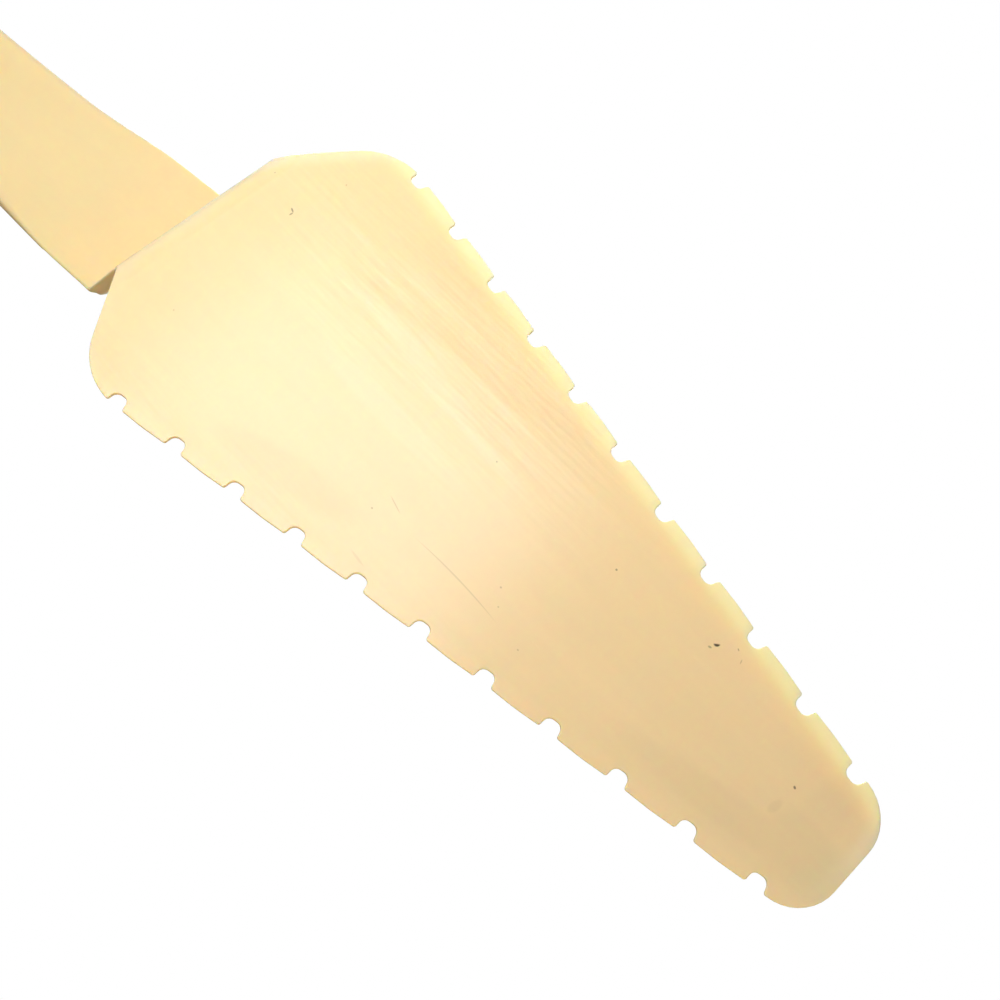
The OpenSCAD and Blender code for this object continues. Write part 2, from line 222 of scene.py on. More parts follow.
def moulded_plastic_group():
    """Colour, roughness and relief of a moulded plastic with flow streaks, drift and fine scratches."""
    tree = bpy.data.node_groups.new("moulded_plastic", "ShaderNodeTree")
    declare(tree, "INPUT", [("Position", "Vector"), ("Colour", "Color"), ("Streaks", "Float"),
                            ("Drift", "Float"), ("Roughness", "Float")])
    declare(tree, "OUTPUT", [("Colour", "Color"), ("Roughness", "Float"), ("Height", "Float")])
    given = put(tree, "NodeGroupInput").outputs

    def noise(waves, detail):
        place = put(tree, "ShaderNodeVectorMath", {0: given["Position"], 1: waves}, operation="MULTIPLY")
        made = put(tree, "ShaderNodeTexNoise", {"Vector": place.outputs[0], "Scale": 1.0, "Detail": detail})
        return made.outputs[0]

    def centred(value, amount):
        return calc(tree, "MULTIPLY", calc(tree, "SUBTRACT", value, 0.5), amount)

    streak = noise(STREAK_WAVES, detail=3.0)
    drift = noise(DRIFT_WAVES, detail=2.0)
    grain = noise(GRAIN_WAVES, detail=4.0)
    hair = noise(HAIR_WAVES, detail=1.0)
    scratch = smooth_range(tree, hair, SCRATCH_START, SCRATCH_FULL)

    tone = calc(tree, "ADD", centred(streak, given["Streaks"]), centred(drift, given["Drift"]))
    level = calc(tree, "ADD", tone, 1.0)
    tinted = put(tree, "ShaderNodeVectorMath", {0: given["Colour"], "Scale": level}, operation="SCALE")
    rough = calc(tree, "ADD", centred(grain, GRAIN_ROUGHNESS), given["Roughness"])
    rough = calc(tree, "MULTIPLY_ADD", scratch, SCRATCH_ROUGHNESS, rough)
    height = calc(tree, "MULTIPLY_ADD", scratch, -SCRATCH_DEPTH, centred(grain, GRAIN_HEIGHT))
    height = calc(tree, "MULTIPLY_ADD", streak, WAVE_HEIGHT, height)
    put(tree, "NodeGroupOutput", {"Colour": tinted.outputs[0], "Roughness": rough, "Height": height})
    return tree


moulded_plastic = moulded_plastic_group()
print("Group:", moulded_plastic.name)

# %% Material of moulded plastic
PLASTIC_IOR = 1.48
GLOW_WEIGHT = 0.9
GLOW_RADII = (1.0, 0.6, 0.25)
GLOW_DEPTH = 2.4 * MM


def plastic_material(name, colour, streaks, drift, roughness):
    """A material with the moulded plastic group, and the parts that a finish may build on."""
    material = new_material(name)
    tree = material.node_tree
    place = put(tree, "ShaderNodeTexCoord").outputs["Object"]
    mm = put(tree, "ShaderNodeVectorMath", {0: place, "Scale": 1 / MM}, operation="SCALE").outputs[0]
    group = put(tree, "ShaderNodeGroup", {
        "Position": mm, "Colour": colour, "Streaks": streaks, "Drift": drift,
        "Roughness": roughness}, node_tree=moulded_plastic)
    sockets = {"Height": group.outputs["Height"], "Strength": 1.0, "Distance": MM}
    relief = put(tree, "ShaderNodeBump", sockets)
    shader = put(tree, "ShaderNodeBsdfPrincipled", {
        "Base Color": group.outputs["Colour"], "Roughness": group.outputs["Roughness"],
        "Normal": relief.outputs["Normal"], "IOR": PLASTIC_IOR, "Subsurface Weight": GLOW_WEIGHT,
        "Subsurface Radius": GLOW_RADII, "Subsurface Scale": GLOW_DEPTH})
    put(tree, "ShaderNodeOutputMaterial", {"Surface": shader.outputs[0]})
    return material, mm, group, shader


print("Glow depth in mm:", round(GLOW_DEPTH / MM, 2))

# %% [markdown]
# ## Marks of use
# The blade's underside carries a few specks, a curled hair mark and some scratches. One group draws a
# bent ellipse on the underside, and each mark is that group with its own place, turn, length, width
# and bend. So a speck is a short stroke and a scratch a long, thin one.

# %% Group for one mark
STROKE_RIM = 1.0
STROKE_CORE = 0.2


def stroke_group():
    """Mask of one bent, tapering stroke on the plane z = 0, in millimetres."""
    tree = bpy.data.node_groups.new("stroke", "ShaderNodeTree")
    declare(tree, "INPUT", [("Position", "Vector"), ("Middle", "Vector"), ("Turn", "Vector"),
                            ("Half Size", "Vector"), ("Bend", "Float"), ("Softness", "Float"),
                            ("Strength", "Float")])
    declare(tree, "OUTPUT", [("Mask", "Float")])
    given = put(tree, "NodeGroupInput").outputs
    local = put(tree, "ShaderNodeMapping", {"Vector": given["Position"], "Location": given["Middle"],
                                            "Rotation": given["Turn"], "Scale": given["Half Size"]},
                vector_type="TEXTURE")
    axes = put(tree, "ShaderNodeSeparateXYZ", {0: local.outputs[0]}).outputs
    along = calc(tree, "MULTIPLY", axes[0], axes[0])
    across = calc(tree, "MULTIPLY_ADD", along, given["Bend"], axes[1])
    radius = calc(tree, "ADD", along, calc(tree, "MULTIPLY", across, across))
    mask = smooth_range(tree, radius, STROKE_RIM, STROKE_CORE)
    mask = calc(tree, "POWER", mask, given["Softness"])
    put(tree, "NodeGroupOutput", {"Mask": calc(tree, "MULTIPLY", mask, given["Strength"])})
    return tree


stroke = stroke_group()
print("Group:", stroke.name)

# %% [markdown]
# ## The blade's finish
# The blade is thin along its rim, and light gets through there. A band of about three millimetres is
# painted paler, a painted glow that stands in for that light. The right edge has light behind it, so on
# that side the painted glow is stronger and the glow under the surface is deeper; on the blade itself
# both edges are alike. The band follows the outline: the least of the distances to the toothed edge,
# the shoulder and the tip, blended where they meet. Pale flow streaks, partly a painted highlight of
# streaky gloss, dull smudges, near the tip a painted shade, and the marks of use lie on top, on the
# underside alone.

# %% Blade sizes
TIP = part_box("blade")[1].x / MM
HEEL = -18.2
HEEL_W = 30.8
BLADE_W = 59.8
BLADE_T = 3.0
EDGE_T = 0.5
RIM_T = 0.65
RIM_W = 2.1
BEVEL_W = 5.0
EDGE_ANGLE = radians(10)
SHOULDER_ANGLE = radians(54.5)
print("Blade from heel to tip in mm:", round(TIP - HEEL, 1))

# %% Marks on the underside
Mark = namedtuple("Mark", "x y turn length width bend strength")

# Dark colour of the marks of use and of the smudges, which near the tip are a painted shade.
GRIME_AND_SHADE = (0.05, 0.03, 0.012, 1)
# Pale colour of the flow streaks: partly flow marks, partly a painted highlight of streaky gloss.
FLOW_AND_SHEEN_PALE = (0.96, 0.88, 0.66, 1)
CRISP = 1
SOFT = 2
MARKS = [
    Mark(-8.87, -10.52, 23, 1.1, 0.36, 0, 0.55),
    Mark(-8.45, -9.95, 93, 0.95, 0.34, 0, 0.5),
    Mark(-16.1, -13.0, 20, 0.5, 0.34, 0, 0.35),
    Mark(-7.0, -19.9, 70, 0.36, 0.3, 0, 0.3),
    Mark(-6.7, 14.0, 0, 0.34, 0.34, 0, 0.22),
    Mark(36.4, 12.9, 0, 0.4, 0.32, 0, 0.35),
    Mark(43.0, -5.2, 40, 0.42, 0.32, 0, 0.4),
    Mark(57.1, 7.4, 0, 0.4, 0.34, 0, 0.3),
    Mark(58.9, 9.6, 0, 0.34, 0.3, 0, 0.25),
    Mark(65.1, 11.8, 0, 0.4, 0.3, 0, 0.25),
    Mark(66.2, -6.5, 0, 0.42, 0.4, 0, 0.55),
    Mark(103.6, -2.6, 30, 0.6, 0.42, 0, 0.7),
    Mark(83.3, -9.1, -40, 1.1, 0.5, 0.6, 0.95),
    Mark(82.8, -8.2, -20, 0.7, 0.4, 0, 0.45),
    Mark(85.8, -10.9, 30, 0.55, 0.24, 0, 0.45),
    Mark(87.2, -9.9, 70, 0.9, 0.22, 0, 0.3),
    Mark(52.0, 11.0, 0, 18.5, 0.3, -3.0, 0.17),
    Mark(38.2, 10.1, 16, 3.6, 0.26, 0, 0.2),
    Mark(40.6, 19.3, 6, 3.4, 0.5, 0, 0.1),
]
# Dull smudges. The ones near the tip are a painted shade, darkening it where the lamps' light falls off.
SMUDGES_AND_SHADE = [
    Mark(24.3, 18.3, -13, 34, 8, 0, 0.05),
    Mark(98.0, 6.5, -12, 46, 7, 0.3, 0.036),
    Mark(108.5, -1.0, 95, 24, 9, 0, 0.03),
    Mark(109.0, 2.5, 20, 14, 12, 0, 0.04),
    Mark(103.4, 1.2, 100, 3.6, 1.8, 0, 0.06),
]
# Pale flow streaks: partly flow marks of the melt, partly a painted highlight where the gloss runs in
# streaks.
FLOW_AND_SHEEN_STREAKS = [
    Mark(28.5, -7.0, 6.8, 52, 4.6, 0, 0.17),
    Mark(27.5, 1.3, 0, 42, 5.4, 0, 0.1),
]
print("Marks:", len(MARKS), "smudges:", len(SMUDGES_AND_SHADE), "flow streaks:", len(FLOW_AND_SHEEN_STREAKS))

# %% Masks of the rim and the strokes
RIM_BLEND = 6.0


def rim_distance(tree, mm):
    """Distance from the blade's rim, in millimetres."""
    axes = put(tree, "ShaderNodeSeparateXYZ", {0: mm}).outputs
    side = calc(tree, "ABSOLUTE", axes[1])
    cos_edge, sin_edge = cos(EDGE_ANGLE), sin(EDGE_ANGLE)
    cos_shoulder, sin_shoulder = cos(SHOULDER_ANGLE), sin(SHOULDER_ANGLE)
    toothed = calc(tree, "MULTIPLY_ADD", side, -cos_edge, BLADE_W / 2 * cos_edge)
    toothed = calc(tree, "MULTIPLY_ADD", axes[0], -sin_edge, toothed)
    shoulder = calc(tree, "MULTIPLY_ADD", side, -cos_shoulder,
                    HEEL_W / 2 * cos_shoulder - HEEL * sin_shoulder)
    shoulder = calc(tree, "MULTIPLY_ADD", axes[0], sin_shoulder, shoulder)
    tip = calc(tree, "SUBTRACT", TIP, axes[0])
    least = calc(tree, "SMOOTH_MIN", toothed, shoulder, RIM_BLEND)
    return calc(tree, "SMOOTH_MIN", least, tip, RIM_BLEND)


def stroke_mask(tree, mm, marks, softness):
    """Mask of several strokes, the strongest one where they cross. Soft ones have fainter rims."""
    mask = 0.0
    for mark in marks:
        made = put(tree, "ShaderNodeGroup", {
            "Position": mm, "Middle": (mark.x, mark.y, 0), "Turn": (0, 0, radians(mark.turn)),
            "Half Size": (mark.length / 2, mark.width / 2, 1), "Bend": mark.bend,
            "Softness": softness, "Strength": mark.strength}, node_tree=stroke)
        mask = calc(tree, "MAXIMUM", mask, made.outputs["Mask"])
    return mask


# %% Blade finish
BLADE_CREAM = (0.86, 0.695, 0.378, 1)
# Painted glow: a pale colour mixed into the rim, standing in for light that gets through the thin edge.
PAINTED_RIM_GLOW = (0.95, 0.82, 0.58, 1)
BAND_START = 3.0
BAND_FULL = 0.6
# Painted glow by side: strong on the right, where light falls from behind, faint on the left. The glow
# under the surface is shallower on the left for the same reason.
LEFT_PAINTED_GLOW = 0.1
RIGHT_PAINTED_GLOW = 0.5
LEFT_GLOW_DEPTH = 0.7 * MM


def blade_material():
    """Cream plastic with a painted glow along its rim, and on its underside flow streaks that are partly a
    painted highlight, smudges that are partly a painted shade, and marks of use.
    """
    material, mm, group, shader = plastic_material(
        "blade_cream", BLADE_CREAM, streaks=0.06, drift=0.05, roughness=0.22)
    tree = material.node_tree
    distance = rim_distance(tree, mm)
    axes = put(tree, "ShaderNodeSeparateXYZ", {0: mm}).outputs

    def by_side(left, right):
        return smooth_range(tree, axes[1], BEVEL_W, -BEVEL_W, left, right)

    # Painted glow: the rim is mixed towards a pale colour, more strongly on the right.
    painted_glow_by_side = by_side(LEFT_PAINTED_GLOW, RIGHT_PAINTED_GLOW)
    painted_glow = smooth_range(tree, distance, BAND_START, BAND_FULL, 0.0, painted_glow_by_side)
    edge_depth = by_side(LEFT_GLOW_DEPTH, GLOW_DEPTH)
    depth = smooth_range(tree, distance, BEVEL_W, RIM_W, GLOW_DEPTH, edge_depth)
    tree.links.new(depth, shader.inputs["Subsurface Scale"])
    colour = mix(tree, painted_glow, group.outputs["Colour"], PAINTED_RIM_GLOW)
    underside = calc(tree, "LESS_THAN", axes[2], EDGE_T / 4)
    # Flow streaks are partly a painted highlight, smudges near the tip a painted shade, and the marks are
    # marks of use.
    layers = ((FLOW_AND_SHEEN_STREAKS, FLOW_AND_SHEEN_PALE, SOFT), (SMUDGES_AND_SHADE, GRIME_AND_SHADE, SOFT), (MARKS, GRIME_AND_SHADE, CRISP))
    for marks, shade, softness in layers:
        share = calc(tree, "MULTIPLY", stroke_mask(tree, mm, marks, softness), underside)
        colour = mix(tree, share, colour, shade)
    tree.links.new(colour, shader.inputs["Base Color"])
    return material


blade_cream = blade_material()
print("Material:", blade_cream.name)

# %% [markdown]
# ## The blade
# The blade is a flat plate with a toothed rim. Its outline follows a rule, so a Geometry Nodes tree
# draws it: one tooth is a handful of corners, copied along the edge at the notch pitch, and a second
# copy of the half outline is its mirror image. Each corner carries its own fillet radius, and one
# Fillet Curve rounds them all. The outline is then filled and thickened. A mesh with modelled notches
# could be cut with booleans too, but fillets give clean, soft lips.

# %% Corners of the blade
NOTCH_PITCH = 11.0
NOTCH_COUNT = 11
NOTCH_MOUTH = 2.9
NOTCH_WIDTH = 2.3
NOTCH_DEPTH = 1.85
NOTCH_R = 1.05
LIP_R = 0.4
CROWN = 0.13
CROWN_R = 30.0
CORNER_R = 11.5
HEEL_R = 0.7
TIP_R = 7.0
ARC_POINTS = 18
ARC_STOP = -1.9
ARC_INSET = 0.03
FILLET_POINTS = 9
LAST_ORDER = 10000


def edge_point(along):
    """Point on the left line of the teeth, at a distance along it from the first notch."""
    return Vector((along * cos(EDGE_ANGLE), BLADE_W / 2 - along * sin(EDGE_ANGLE)))


def rear_arc():
    """Points of the rounded rear corner, from the shoulder to just before the first notch."""
    slope = tan(SHOULDER_ANGLE)
    x = (BLADE_W / 2 - HEEL_W / 2 + slope * HEEL) / (slope + tan(EDGE_ANGLE))
    corner = Vector((x, BLADE_W / 2 - x * tan(EDGE_ANGLE)))
    reach = CORNER_R * tan((SHOULDER_ANGLE + EDGE_ANGLE) / 2)
    inward = Vector((sin(EDGE_ANGLE), cos(EDGE_ANGLE)))
    start = corner + reach * Vector((cos(EDGE_ANGLE), -sin(EDGE_ANGLE)))
    centre = start - CORNER_R * inward
    first = pi / 2 + SHOULDER_ANGLE
    left = reach - (edge_point(0) - corner).length - ARC_STOP
    last = pi / 2 - EDGE_ANGLE + left / CORNER_R
    angles = spaced(first, last, ARC_POINTS - 1)
    return [centre + (CORNER_R - ARC_INSET) * Vector((cos(a), sin(a))) for a in angles]


def corner_mesh(name, corners):
    """Loose points, each with a fillet radius and a place in the order of the outline."""
    mesh = bpy.data.meshes.new(name)
    mesh.from_pydata([(x * MM, y * MM, 0) for x, y, radius, order in corners], [], [])
    radii = mesh.attributes.new("corner_radius", "FLOAT", "POINT")
    radii.data.foreach_set("value", [radius * MM for x, y, radius, order in corners])
    orders = mesh.attributes.new("order", "FLOAT", "POINT")
    orders.data.foreach_set("value", [order for x, y, radius, order in corners])
    return mesh


half_mouth, half_width = NOTCH_MOUTH / 2, NOTCH_WIDTH / 2
tooth_corners = [(-half_mouth, 0, LIP_R, 0), (-half_width, -NOTCH_DEPTH, NOTCH_R, 1),
                 (half_width, -NOTCH_DEPTH, NOTCH_R, 2), (half_mouth, 0, LIP_R, 3),
                 (NOTCH_PITCH / 2, CROWN, CROWN_R, 4)]
tip_y = BLADE_W / 2 - TIP * tan(EDGE_ANGLE)
arc = rear_arc()
plate_corners = [(HEEL, HEEL_W / 2, HEEL_R, -ARC_POINTS - 1)]
plate_corners += [(p.x, p.y, 0, i - ARC_POINTS) for i, p in enumerate(arc)]
plate_corners += [(TIP, tip_y, TIP_R, LAST_ORDER / 4)]
print("Corners: one tooth", len(tooth_corners), "and half a plate", len(plate_corners))

# %% Tree for the notched plate
# Of the points of all teeth only the last one, the crown before the tip, is past this limit.
CROWN_LIMIT = -1.5
WELD_DIST = 0.001 * MM


def notched_plate_tree():
    """Half an outline with teeth, mirrored, filleted, filled and thickened."""
    tree = bpy.data.node_groups.new("notched_plate", "GeometryNodeTree")
    declare(tree, "INPUT", [("Geometry", "Geometry"), ("Tooth", "Object"), ("Tooth Points", "Int"),
                            ("Notch Count", "Int"), ("First Notch", "Vector"), ("Notch Step", "Vector"),
                            ("Edge Turn", "Rotation"), ("Arc Points", "Int"), ("Thickness", "Float"),
                            ("Material", "Material")])
    declare(tree, "OUTPUT", [("Geometry", "Geometry")])
    given = put(tree, "NodeGroupInput").outputs

    def attribute(name):
        return put(tree, "GeometryNodeInputNamedAttribute", {"Name": name}).outputs["Attribute"]

    def ordered(geometry, order):
        sockets = {"Geometry": geometry, "Name": "order", "Value": order}
        return put(tree, "GeometryNodeStoreNamedAttribute", sockets).outputs[0]

    def join(*parts):
        made = put(tree, "GeometryNodeJoinGeometry")
        for part in parts:
            tree.links.new(part, made.inputs[0])
        return made.outputs[0]

    places = put(tree, "GeometryNodeMeshLine",
                 {"Count": given["Notch Count"], "Offset": given["Notch Step"],
                  "Start Location": given["First Notch"]})
    tooth = put(tree, "GeometryNodeObjectInfo", {"Object": given["Tooth"]})
    copies = put(tree, "GeometryNodeInstanceOnPoints",
                 {"Points": places.outputs[0], "Instance": tooth.outputs["Geometry"],
                  "Rotation": given["Edge Turn"]})
    teeth = put(tree, "GeometryNodeRealizeInstances", {"Geometry": copies.outputs[0]})
    teeth = put(tree, "GeometryNodeMeshToPoints", {"Mesh": teeth.outputs[0]})
    index = put(tree, "GeometryNodeInputIndex").outputs[0]
    teeth = ordered(teeth.outputs[0], index)
    last_point = calc(tree, "MULTIPLY_ADD", given["Notch Count"], given["Tooth Points"], CROWN_LIMIT)
    past_last = calc(tree, "GREATER_THAN", attribute("order"), last_point)
    teeth = put(tree, "GeometryNodeDeleteGeometry", {"Geometry": teeth, "Selection": past_last}).outputs[0]

    plate = put(tree, "GeometryNodeMeshToPoints", {"Mesh": given["Geometry"]}).outputs[0]
    half = join(plate, teeth)
    other = put(tree, "GeometryNodeTransform", {"Geometry": half, "Scale": (1, -1, 1)}).outputs[0]
    other = ordered(other, calc(tree, "SUBTRACT", LAST_ORDER, attribute("order")))
    outline = put(tree, "GeometryNodePointsToCurves",
                  {"Points": join(half, other), "Weight": attribute("order")})
    outline = put(tree, "GeometryNodeSetSplineCyclic", {"Geometry": outline.outputs[0], "Cyclic": True})
    outline = put(tree, "GeometryNodeFilletCurve",
                  {"Curve": outline.outputs[0], "Count": given["Arc Points"], "Limit Radius": True,
                   "Radius": attribute("corner_radius")}, mode="POLY")
    floor = put(tree, "GeometryNodeFillCurve", {"Curve": outline.outputs[0]}, mode="NGONS").outputs[0]
    lift = put(tree, "ShaderNodeCombineXYZ", {"Z": given["Thickness"]}).outputs[0]
    raised = put(tree, "GeometryNodeExtrudeMesh",
                 {"Mesh": floor, "Offset": lift, "Offset Scale": 1.0, "Individual": False}).outputs[0]
    underside = put(tree, "GeometryNodeFlipFaces", {"Mesh": floor}).outputs[0]
    solid = put(tree, "GeometryNodeMergeByDistance",
                {"Geometry": join(raised, underside), "Distance": WELD_DIST})
    end_tree(tree, solid.outputs[0], given["Material"])
    return tree


tooth_pattern = as_object("tooth_pattern", corner_mesh("tooth_pattern", tooth_corners))
blade = as_object("blade_plate", corner_mesh("blade_plate", plate_corners))
step = edge_point(NOTCH_PITCH) - edge_point(0)
run_tree(blade, notched_plate_tree(), {
    "Tooth": tooth_pattern, "Tooth Points": len(tooth_corners), "Notch Count": NOTCH_COUNT,
    "First Notch": (0, BLADE_W / 2 * MM, 0), "Notch Step": (step.x * MM, step.y * MM, 0),
    "Edge Turn": (0, 0, -EDGE_ANGLE), "Arc Points": FILLET_POINTS, "Thickness": BLADE_T * MM,
    "Material": blade_cream})
bpy.data.objects.remove(tooth_pattern)
print("Plate faces:", len(blade.data.polygons), "points:", len(blade.data.vertices))

# %% [markdown]
# ## Thin edges and a slanted heel
# The plate gets its third dimension by hand. The upper face is cut along two lines on each side. What
# lies outside the outer line is the thin rim with the teeth, which slides under a cake, and between
# the lines the plate slopes up to its full thickness. The heel leans back with the neck. A Bevel then
# breaks the sharp edges, as a mould does, and Weighted Normal keeps the large faces flat to the eye
# and the small bevels smooth.

# %% Shape the plate
BLADE_EDGE_R = 0.14
BEND_H = 33.3
BEND_BACK = 20.8
NECK_ANGLE = atan2(BEND_H, BEND_BACK)
HEEL_ROUND = 2.82
HEEL_STEPS = 14
HEEL_CUT_DIST = 1e-8
SLOPE_CUT_DIST = 1e-7
FACING_UP = 0.5


def round_heel(shape):
    """Rounds the underside into the slant of the heel, one plane after the other."""
    radius = HEEL_ROUND / (1 - cos(NECK_ANGLE)) * MM
    centre = Vector((HEEL * MM + radius * tan(NECK_ANGLE / 2), 0, radius))
    shape.faces.ensure_lookup_table()
    material = shape.faces[0].material_index
    for i in range(HEEL_STEPS):
        turn = NECK_ANGLE * (i + 0.5) / HEEL_STEPS
        outward = Vector((-sin(turn), 0, -cos(turn)))
        parts = shape.verts[:] + shape.edges[:] + shape.faces[:]
        cut = bmesh.ops.bisect_plane(shape, geom=parts, plane_co=centre + outward * radius,
                                     plane_no=outward, dist=HEEL_CUT_DIST, clear_outer=True)
        rim = [item for item in cut["geom_cut"] if isinstance(item, bmesh.types.BMEdge)]
        bmesh.ops.edgeloop_fill(shape, edges=rim, mat_nr=material, use_smooth=True)


def plate_thickness(inside):
    """Thickness of the plate at a distance from the line of its teeth: a thin rim, then a slope."""
    if inside < RIM_W:
        return EDGE_T + (RIM_T - EDGE_T) * inside / RIM_W
    return RIM_T + (BLADE_T - RIM_T) * min(1, (inside - RIM_W) / (BEVEL_W - RIM_W))


def shape_plate(mesh):
    """Sinks the upper face towards the teeth, leans the heel back and rounds it from below."""
    shape = bmesh.new()
    shape.from_mesh(mesh)
    bmesh.ops.recalc_face_normals(shape, faces=shape.faces)
    for side, inset in ((1, BEVEL_W), (-1, BEVEL_W), (1, RIM_W), (-1, RIM_W)):
        outward = Vector((sin(EDGE_ANGLE), side * cos(EDGE_ANGLE), 0))
        line = Vector((0, side * BLADE_W / 2 * MM, 0)) - outward * inset * MM
        upper = [face for face in shape.faces if face.normal.z > FACING_UP]
        parts = set(upper)
        for face in upper:
            parts.update(face.edges, face.verts)
        cut = bmesh.ops.bisect_plane(shape, geom=list(parts), plane_co=line, plane_no=outward,
                                     dist=SLOPE_CUT_DIST)
        for item in cut["geom_cut"]:
            if isinstance(item, bmesh.types.BMEdge):
                item.smooth = False
    fillet = HEEL_R * MM
    for point in shape.verts:
        if point.co.z < BLADE_T * MM / 2:
            continue
        across = (BLADE_W / 2 * MM - abs(point.co.y)) * cos(EDGE_ANGLE)
        inside = across - point.co.x * sin(EDGE_ANGLE)
        point.co.z = plate_thickness(inside / MM) * MM
        at_heel = min(1, max(0, (HEEL * MM + fillet - point.co.x) / fillet))
        point.co.x -= at_heel * BLADE_T * MM / tan(NECK_ANGLE)
    round_heel(shape)
    write_shape(shape, mesh)


def soften(piece, width, segments, angle):
    """Breaks the edges that are sharper than an angle, and evens the shading."""
    for polygon in piece.data.polygons:
        polygon.use_smooth = True
    bevel = piece.modifiers.new("bevel", "BEVEL")
    bevel.width = width * MM
    bevel.segments = segments
    bevel.limit_method = "ANGLE"
    bevel.angle_limit = radians(angle)
    bevel.use_clamp_overlap = False
    even = piece.modifiers.new("even", "WEIGHTED_NORMAL")
    even.keep_sharp = True
    piece.data = evaluated_mesh(piece)


shape_plate(blade.data)
soften(blade, BLADE_EDGE_R, segments=3, angle=40)
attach(blade, "root")
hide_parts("blade")
print("Blade faces:", len(blade.data.polygons))

# %% [markdown]
# ## The handle
# The neck rises from the heel, turns at a crisp bend and runs back as a long, slightly arched grip.
# Its section changes all the way, so the handle is a skin over rings: each ring is a slice with a
# place, a tilt, a width, a thickness and an edge radius. The lower edges are crisp at the bend and
# grow round towards the rear, where the hand closes over them.

# %% Slices of the handle
Slice = namedtuple("Slice", "x z tilt half thick seam radius lean nose")

BEND_X = HEEL - BEND_BACK
BEND_R = 2.5
GRIP_RISE = radians(18.4)
ARCH_R = 510.0
GRIP_L = 104.8
GRIP_W = 32.1
TAIL_W = 26.1
TAIL_CURVE_L = 25.0
TAIL_NOSE_L = 12.0
NECK_T = 3.2
GRIP_T = 10.6
SWELL_SHARE = 0.55
ROOT_FLARE = 5.0
ROOT_RISE = 9.0
ROOT_RIM_SHARE = 0.72
RIM_SHARE = 0.5
NECK_LEAN = radians(45)
SIDE_LEAN = radians(11)
LEAN_SHARE = 0.21
EDGE_R = 0.45
GRIP_EDGE_R = 2.4
ROUND_START_SHARE = 0.15
ROUND_STOP_SHARE = 0.45
NECK_LIFT = 0.1
NECK_BASE = BLADE_T + NECK_LIFT
BEND_TANGENT = BEND_R * tan((NECK_ANGLE - GRIP_RISE) / 2)


def ease(share):
    """Rises from 0 to 1 with a level start and end."""
    share = max(0, min(1, share))
    return share * share * (3 - 2 * share)


def end_round(left_share):
    """Quarter ellipse that falls from 1 to 0 as a stretch runs out."""
    return sqrt(1 - max(0, min(1, 1 - left_share)) ** 2)


def grip_slice(s):
    """Slice of the grip at a distance behind the bend."""
    slope = GRIP_RISE - s / ARCH_R
    x = BEND_X - ARCH_R * (sin(GRIP_RISE) - sin(slope))
    z = BEND_H + ARCH_R * (cos(slope) - cos(GRIP_RISE))
    narrow = end_round((GRIP_L - s) / TAIL_CURVE_L)
    half = blend(GRIP_W, TAIL_W, s / GRIP_L) / 2 * narrow
    thick = blend(NECK_T, GRIP_T, ease(s / (SWELL_SHARE * GRIP_L)))
    grown = ease((s / GRIP_L - ROUND_START_SHARE) / (ROUND_STOP_SHARE - ROUND_START_SHARE))
    radius = min(blend(EDGE_R, GRIP_EDGE_R, grown), half * RIM_SHARE)
    full_lean = blend(NECK_LEAN, SIDE_LEAN, ease(s / (LEAN_SHARE * GRIP_L)))
    lean = atan(tan(full_lean) * narrow)
    nose = end_round((GRIP_L - s) / TAIL_NOSE_L)
    return Slice(x, z, pi / 2 - slope, half, thick, thick * RIM_SHARE, radius, lean, nose)


def neck_slice(t):
    """Slice of the neck, from level at its root to square at the bend."""
    z = blend(NECK_BASE, BEND_H - BEND_TANGENT * sin(NECK_ANGLE), t)
    thick = NECK_T + ROOT_FLARE * max(0, 1 - (z - NECK_BASE) / ROOT_RISE) ** 2
    tilt = blend(0, pi / 2 - NECK_ANGLE, ease(t))
    seam = thick * blend(ROOT_RIM_SHARE, RIM_SHARE, t)
    x = HEEL - z / tan(NECK_ANGLE)
    half = blend(HEEL_W, GRIP_W, t) / 2
    return Slice(x, z, tilt, half, thick, seam, EDGE_R, NECK_LEAN * t, 1)


def bend_slice(t):
    """Slice round the inside of the bend."""
    slope = blend(NECK_ANGLE, GRIP_RISE, t)
    centre_x = BEND_X + BEND_TANGENT * cos(NECK_ANGLE) - BEND_R * sin(NECK_ANGLE)
    centre_z = BEND_H - BEND_TANGENT * sin(NECK_ANGLE) - BEND_R * cos(NECK_ANGLE)
    return Slice(centre_x + BEND_R * sin(slope), centre_z + BEND_R * cos(slope),
                 pi / 2 - slope, GRIP_W / 2, NECK_T, NECK_T * RIM_SHARE, EDGE_R, NECK_LEAN, 1)


print("Bend at x in mm:", round(BEND_X, 1), "and the neck's angle:", round(degrees(NECK_ANGLE), 1))

# %% [markdown]
# ## Rings and skin
# Half a ring runs from the middle of the underside out to the rounded lower edge, up the leaning side
# to the seam, and back to the middle over the top. The other half is its mirror image. The flat
# stretches get a few extra points close to their ends, so that smooth shading doesn't spread a curve
# over a flat face.

# %% Rings of the handle
LIP = 0.28
LEAST_LIP = 0.02
LIP_SHARE = 0.3
SIDE_SHARES = (0.1, 0.5, 0.9)
ARC_STEPS = 8
LIP_STEPS = 4
TOP_STEPS = 14
DOME_POWER = 2.6
SUPPORT = 0.35


def lower_points(piece, lip):
    """Underside and side of a slice on the left, as far as the rounded lip at the seam."""
    centre = piece.half - piece.radius * tan(pi / 4 + piece.lean / 2)
    support = min(SUPPORT, centre / 2)
    points = [(0, 0), (centre / 2, 0), (centre - support, 0)]
    for a in spaced(-pi / 2, piece.lean, ARC_STEPS):
        points.append((centre + piece.radius * cos(a), piece.radius * (1 + sin(a))))
    low = points[-1][1]
    top = piece.seam - lip
    for share in SIDE_SHARES:
        n = blend(low, top, share)
        points.append((piece.half - n * tan(piece.lean), n))
    return points


